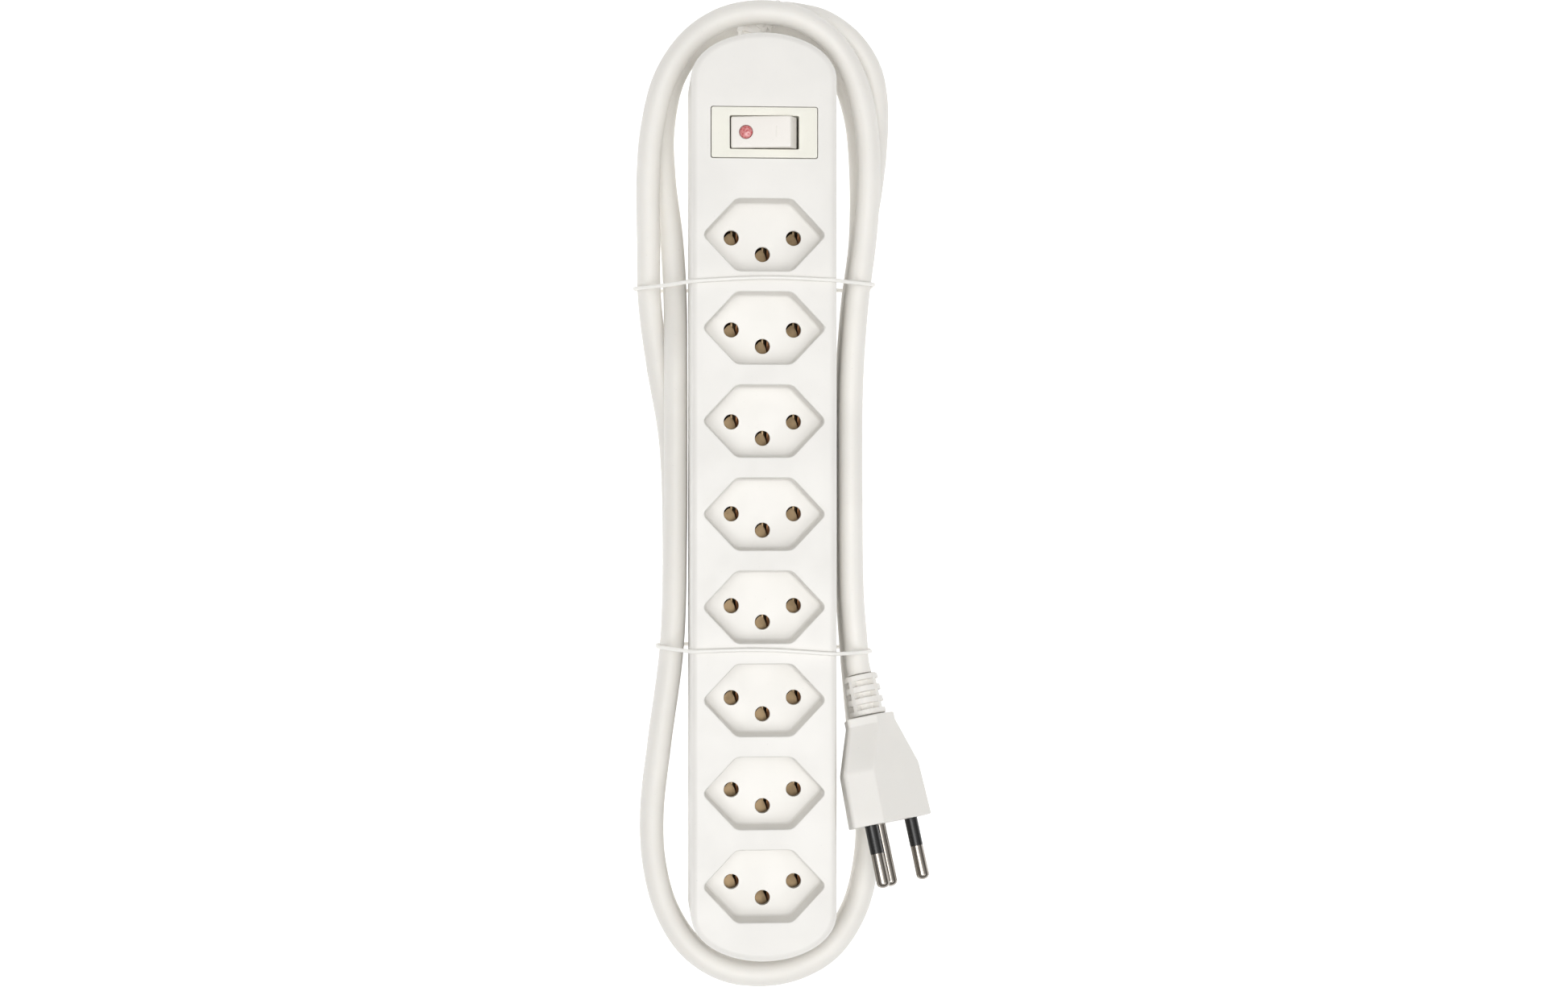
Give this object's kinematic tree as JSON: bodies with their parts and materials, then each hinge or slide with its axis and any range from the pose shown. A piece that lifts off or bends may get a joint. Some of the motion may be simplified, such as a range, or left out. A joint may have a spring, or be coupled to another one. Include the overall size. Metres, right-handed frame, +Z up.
{
  "type": "power_strip",
  "caption": "White power strip with recessed three-pin sockets, a lit rocker switch and its mains lead wound round it, plug tied to the side",
  "frame": {"origin": "middle of the strip's footprint, on the surface that its feet stand on; the lead, plug and ties aren't counted", "axes": "+X across the strip to the side where the plug lies, +Y along it to the end that the lead leaves, +Z up out of the sockets"},
  "size_m": [0.0912, 0.3061, 0.0426],
  "materials": {
    "cover_white": "satin",
    "base_white": "fine matt",
    "switch_ivory": "satin",
    "rocker_white": "gloss",
    "lens_red": "clear gloss",
    "lamp_glass": "clear",
    "contact_brass": "rolled",
    "zinc_steel": "zinc plated",
    "pin_nickel": "nickel plated",
    "sleeve_black": "satin",
    "carrier_grey": "matt",
    "lead_pvc": "matt flexible",
    "plug_pvc": "matt flexible",
    "core_brown": "matt flexible",
    "core_blue": "matt flexible",
    "core_green_yellow": "matt flexible",
    "tie_elastic": "smooth elastic"
  },
  "bodies": {
    "housing": {"top_cover": "cover_white", "base_cover": "base_white", "housing_screw_1": "zinc_steel", "housing_screw_2": "zinc_steel", "housing_screw_3": "zinc_steel", "housing_screw_4": "zinc_steel", "housing_screw_5": "zinc_steel", "housing_screw_6": "zinc_steel", "contact_carrier": "carrier_grey", "live_busbar": "contact_brass", "neutral_busbar": "contact_brass", "earth_busbar": "contact_brass", "switch_body": "switch_ivory", "terminal_live_in": "contact_brass", "terminal_live_out": "contact_brass", "terminal_neutral_in": "contact_brass", "terminal_neutral_out": "contact_brass", "wire_live_in": "core_brown", "wire_neutral_in": "core_blue", "wire_live_out": "core_brown", "wire_neutral_out": "core_blue", "wire_earth": "core_green_yellow", "cord_tail": "lead_pvc", "cord_clamp": "carrier_grey", "clamp_screw_1": "zinc_steel", "clamp_screw_2": "zinc_steel", "cord_relief": "plug_pvc", "power_cord": "lead_pvc", "plug_body": "plug_pvc", "plug_relief": "plug_pvc", "plug_pin_live": "pin_nickel", "plug_pin_neutral": "pin_nickel", "plug_pin_earth": "pin_nickel", "pin_sleeve_live": "sleeve_black", "pin_sleeve_neutral": "sleeve_black", "tie_upper": "tie_elastic", "tie_lower": "tie_elastic"},
    "rocker_unit": {"rocker": "rocker_white", "pilot_lens": "lens_red", "neon_lamp": "lamp_glass", "plunger_live": "contact_brass", "plunger_neutral": "contact_brass", "plunger_spring_live": "zinc_steel", "plunger_spring_neutral": "zinc_steel"},
    "lever_live": {"contact_lever_live": "contact_brass"},
    "lever_neutral": {"contact_lever_neutral": "contact_brass"}
  },
  "joints": [
    {"name": "rocker_pivot", "type": "hinge", "parent": "housing", "child": "rocker_unit", "pos_m": [0, 0.1096, 0.0324], "axis": [0, 1, 0], "range_deg": [0, 19]},
    {"name": "lever_live_pivot", "type": "hinge", "parent": "housing", "child": "lever_live", "pos_m": [0, 0.1123, 0.0199], "axis": [0, 1, 0], "range_deg": [-14, 0]},
    {"name": "lever_neutral_pivot", "type": "hinge", "parent": "housing", "child": "lever_neutral", "pos_m": [0, 0.1069, 0.0199], "axis": [0, 1, 0], "range_deg": [-14, 0]}
  ],
  "couplings": [
    {"joint": "lever_live_pivot", "follows": "rocker_pivot", "ratio": -0.73684},
    {"joint": "lever_neutral_pivot", "follows": "rocker_pivot", "ratio": -0.73684}
  ]
}
